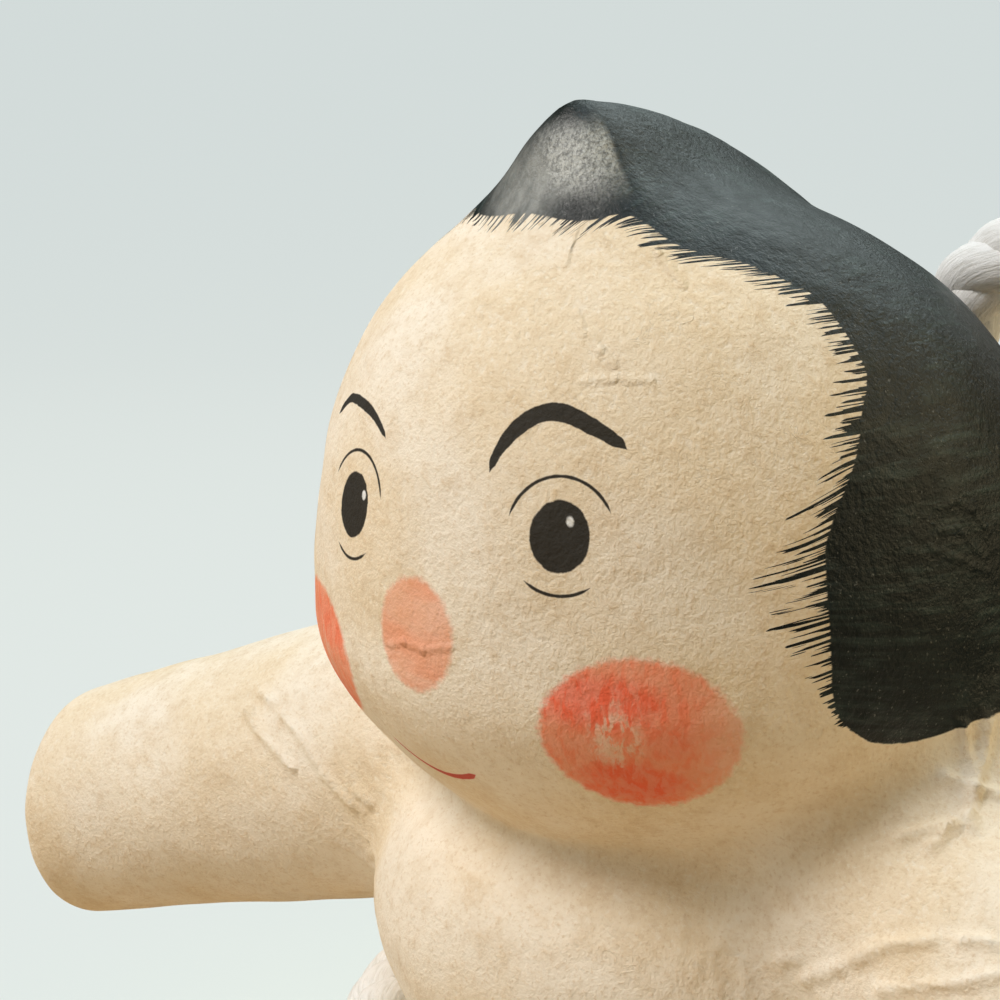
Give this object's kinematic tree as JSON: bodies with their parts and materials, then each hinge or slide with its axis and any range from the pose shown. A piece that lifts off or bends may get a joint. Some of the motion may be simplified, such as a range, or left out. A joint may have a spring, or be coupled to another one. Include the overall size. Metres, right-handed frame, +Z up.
{
  "type": "papier-mache wrestler doll",
  "caption": "Hollow paper wrestler doll with a big painted head, stub arms held out, weighted feet, a white waist rope with standing loops, and zigzag paper streamers that swing.",
  "frame": {"origin": "middle of the bounding box, on the plane the soles stand on", "axes": "+Z up, the doll faces -Y, its left hand is towards +X"},
  "size_m": [0.1704, 0.0824, 0.1359],
  "materials": {
    "paper_skin": "matte",
    "black_painted_paper": "satin",
    "pasted_strip": "matte",
    "dark_cloth": "matte",
    "cardboard": "matte",
    "clay": "matte",
    "white_rope": "matte",
    "white_paper": "matte"
  },
  "bodies": {
    "doll": {"face_shell": "paper_skin", "back_head_shell": "black_painted_paper", "head_seam_band": "pasted_strip", "topknot": "black_painted_paper", "chest_shell": "paper_skin", "back_shell": "paper_skin", "trunk_seam_band": "pasted_strip", "throat_paper_band": "pasted_strip", "nape_paper_band": "pasted_strip", "right_arm_shell": "paper_skin", "right_shoulder_band": "pasted_strip", "left_arm_shell": "paper_skin", "left_shoulder_band": "pasted_strip", "loincloth_belt": "dark_cloth", "loincloth_strip": "dark_cloth", "right_leg_shell": "paper_skin", "right_sole": "cardboard", "right_foot_weight": "clay", "left_leg_shell": "paper_skin", "left_sole": "cardboard", "left_foot_weight": "clay", "waist_rope": "white_rope", "rope_knot": "white_rope", "right_rope_loop": "white_rope", "left_rope_loop": "white_rope"},
    "shide_1": {"shide_1": "white_paper"},
    "shide_2": {"shide_2": "white_paper"},
    "shide_3": {"shide_3": "white_paper"},
    "shide_4": {"shide_4": "white_paper"},
    "shide_5": {"shide_5": "white_paper"}
  },
  "joints": [
    {"name": "shide_1_swing", "type": "hinge", "parent": "doll", "child": "shide_1", "pos_m": [-0.02505, -0.02734, 0.03926], "axis": [-0.6691, 0.7432, 0], "range_deg": [0, 70]},
    {"name": "shide_2_swing", "type": "hinge", "parent": "doll", "child": "shide_2", "pos_m": [-0.01384, -0.03587, 0.03911], "axis": [-0.9135, 0.4068, 0], "range_deg": [0, 70]},
    {"name": "shide_3_swing", "type": "hinge", "parent": "doll", "child": "shide_3", "pos_m": [0, -0.03893, 0.03905], "axis": [-1, 0, 0], "range_deg": [0, 70]},
    {"name": "shide_4_swing", "type": "hinge", "parent": "doll", "child": "shide_4", "pos_m": [0.01384, -0.03587, 0.03911], "axis": [-0.9135, -0.4068, 0], "range_deg": [0, 70]},
    {"name": "shide_5_swing", "type": "hinge", "parent": "doll", "child": "shide_5", "pos_m": [0.02505, -0.02734, 0.03926], "axis": [-0.6691, -0.7432, 0], "range_deg": [0, 70]}
  ]
}
